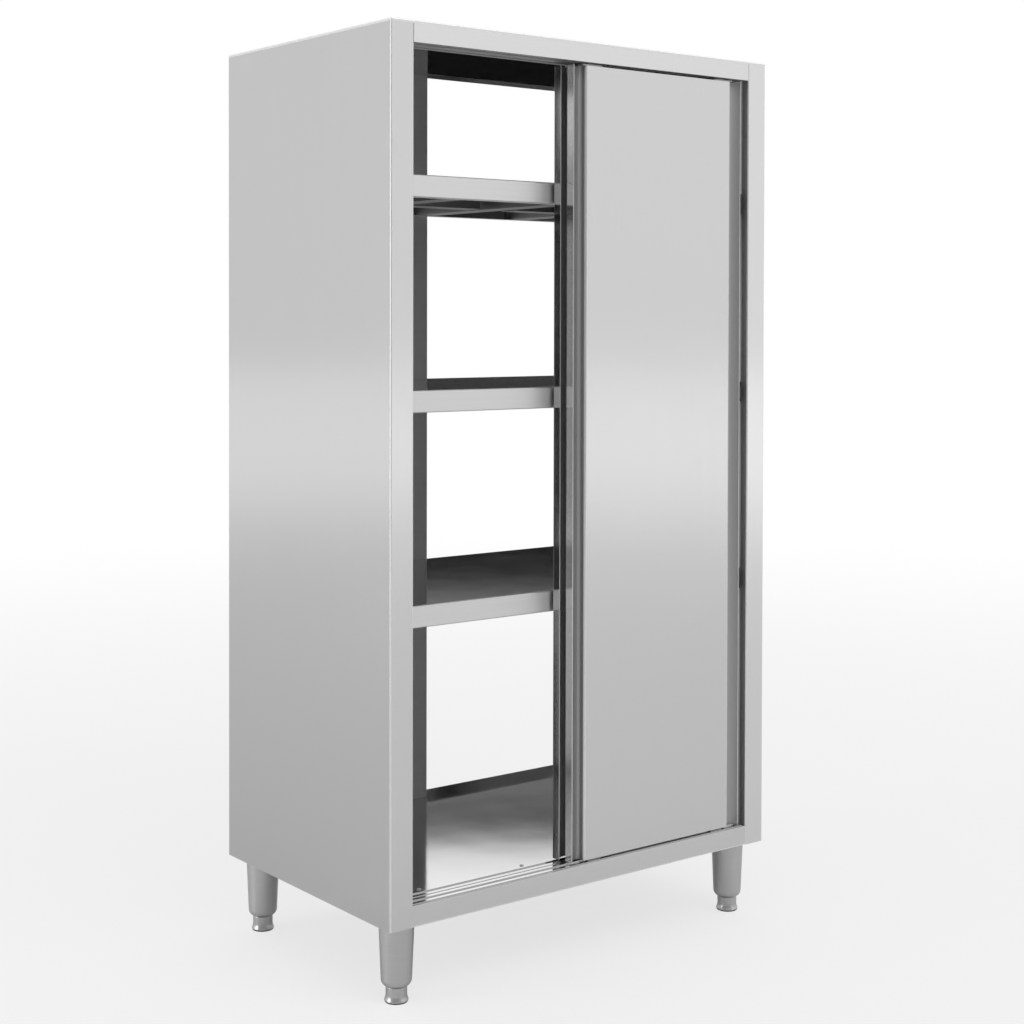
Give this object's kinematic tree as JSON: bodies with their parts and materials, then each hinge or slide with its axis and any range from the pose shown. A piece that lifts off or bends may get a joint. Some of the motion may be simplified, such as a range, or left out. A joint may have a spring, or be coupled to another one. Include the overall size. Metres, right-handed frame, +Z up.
{
  "type": "sliding door cabinet",
  "caption": "Tall folded stainless steel cabinet with fixed shelves, sliding doors hung in a double top track, an open rear with a centre post, and adjustable feet.",
  "frame": {"origin": "on the floor, under the middle of the casing", "axes": "+Z up, the doors face -Y, +X to the right of someone facing the doors"},
  "size_m": [0.95, 0.6, 1.8],
  "materials": {
    "casing_steel": "brushed stainless sheet, grain upright on the sides",
    "shelf_steel": "brushed stainless sheet, grain along the shelf",
    "door_steel": "brushed stainless sheet, grain upright",
    "leg_steel": "turned satin stainless",
    "track_steel": "mill stainless strip",
    "fastener_steel": "bright plated steel",
    "bush_brass": "machined brass",
    "nylon": "natural nylon",
    "stop_rubber": "black rubber",
    "glide_plastic": "dark grey plastic"
  },
  "bodies": {
    "casing": {"left_side_panel": "casing_steel", "right_side_panel": "casing_steel", "roof_panel": "casing_steel", "floor_panel": "casing_steel", "rear_bottom_rail": "casing_steel", "rear_centre_post": "casing_steel", "lower_shelf": "shelf_steel", "lower_shelf_cross_ribs": "shelf_steel", "lower_shelf_long_ribs": "shelf_steel", "middle_shelf": "shelf_steel", "middle_shelf_cross_ribs": "shelf_steel", "middle_shelf_long_ribs": "shelf_steel", "upper_shelf": "shelf_steel", "upper_shelf_cross_ribs": "shelf_steel", "upper_shelf_long_ribs": "shelf_steel", "shelf_brackets": "shelf_steel", "upper_track": "track_steel", "track_studs": "fastener_steel", "track_nuts": "fastener_steel", "track_end_stops": "stop_rubber", "lower_track": "track_steel", "lower_track_rivets": "fastener_steel", "leg_plates": "fastener_steel", "leg_bolts": "fastener_steel", "leg_nuts": "fastener_steel", "leg_threaded_rings": "fastener_steel", "leg_front_left": "leg_steel", "leg_front_right": "leg_steel", "leg_rear_left": "leg_steel", "leg_rear_right": "leg_steel"},
    "outer_door": {"outer_door_skin": "door_steel", "outer_door_liner": "door_steel", "outer_door_hangers": "track_steel", "outer_door_hanger_rivets": "fastener_steel", "outer_door_hanger_bushes": "bush_brass", "outer_door_guides": "nylon"},
    "outer_left_wheelset": {"outer_left_wheels": "nylon", "outer_left_axle": "fastener_steel"},
    "outer_right_wheelset": {"outer_right_wheels": "nylon", "outer_right_axle": "fastener_steel"},
    "inner_door": {"inner_door_skin": "door_steel", "inner_door_liner": "door_steel", "inner_door_hangers": "track_steel", "inner_door_hanger_rivets": "fastener_steel", "inner_door_hanger_bushes": "bush_brass", "inner_door_guides": "nylon"},
    "inner_left_wheelset": {"inner_left_wheels": "nylon", "inner_left_axle": "fastener_steel"},
    "inner_right_wheelset": {"inner_right_wheels": "nylon", "inner_right_axle": "fastener_steel"},
    "front_left_foot": {"foot_front_left": "leg_steel", "glide_front_left": "glide_plastic"},
    "front_right_foot": {"foot_front_right": "leg_steel", "glide_front_right": "glide_plastic"},
    "rear_left_foot": {"foot_rear_left": "leg_steel", "glide_rear_left": "glide_plastic"},
    "rear_right_foot": {"foot_rear_right": "leg_steel", "glide_rear_right": "glide_plastic"}
  },
  "joints": [
    {"name": "outer_door_slide", "type": "slide", "parent": "casing", "child": "outer_door", "axis": [1, 0, 0], "range_m": [-0.381, 0.01]},
    {"name": "inner_door_slide", "type": "slide", "parent": "casing", "child": "inner_door", "axis": [1, 0, 0], "range_m": [-0.375, 0.016]},
    {"name": "outer_left_wheels_roll", "type": "hinge", "parent": "outer_door", "child": "outer_left_wheelset", "pos_m": [0.008, -0.28, 1.7733], "axis": [0, 1, 0], "range_deg": [-1986, 54]},
    {"name": "outer_right_wheels_roll", "type": "hinge", "parent": "outer_door", "child": "outer_right_wheelset", "pos_m": [0.363, -0.28, 1.7733], "axis": [0, 1, 0], "range_deg": [-1986, 54]},
    {"name": "inner_left_wheels_roll", "type": "hinge", "parent": "inner_door", "child": "inner_left_wheelset", "pos_m": [0.002, -0.248, 1.7733], "axis": [0, 1, 0], "range_deg": [-1955, 85]},
    {"name": "inner_right_wheels_roll", "type": "hinge", "parent": "inner_door", "child": "inner_right_wheelset", "pos_m": [0.357, -0.248, 1.7733], "axis": [0, 1, 0], "range_deg": [-1955, 85]},
    {"name": "front_left_foot_height", "type": "slide", "parent": "casing", "child": "front_left_foot", "axis": [0, 0, 1], "range_m": [-0.03, 0]},
    {"name": "front_right_foot_height", "type": "slide", "parent": "casing", "child": "front_right_foot", "axis": [0, 0, 1], "range_m": [-0.03, 0]},
    {"name": "rear_left_foot_height", "type": "slide", "parent": "casing", "child": "rear_left_foot", "axis": [0, 0, 1], "range_m": [-0.03, 0]},
    {"name": "rear_right_foot_height", "type": "slide", "parent": "casing", "child": "rear_right_foot", "axis": [0, 0, 1], "range_m": [-0.03, 0]}
  ],
  "couplings": [
    {"joint": "outer_left_wheels_roll", "follows": "outer_door_slide", "rad_per_m": 90.909},
    {"joint": "outer_right_wheels_roll", "follows": "outer_door_slide", "rad_per_m": 90.909},
    {"joint": "inner_left_wheels_roll", "follows": "inner_door_slide", "rad_per_m": 90.909},
    {"joint": "inner_right_wheels_roll", "follows": "inner_door_slide", "rad_per_m": 90.909}
  ]
}
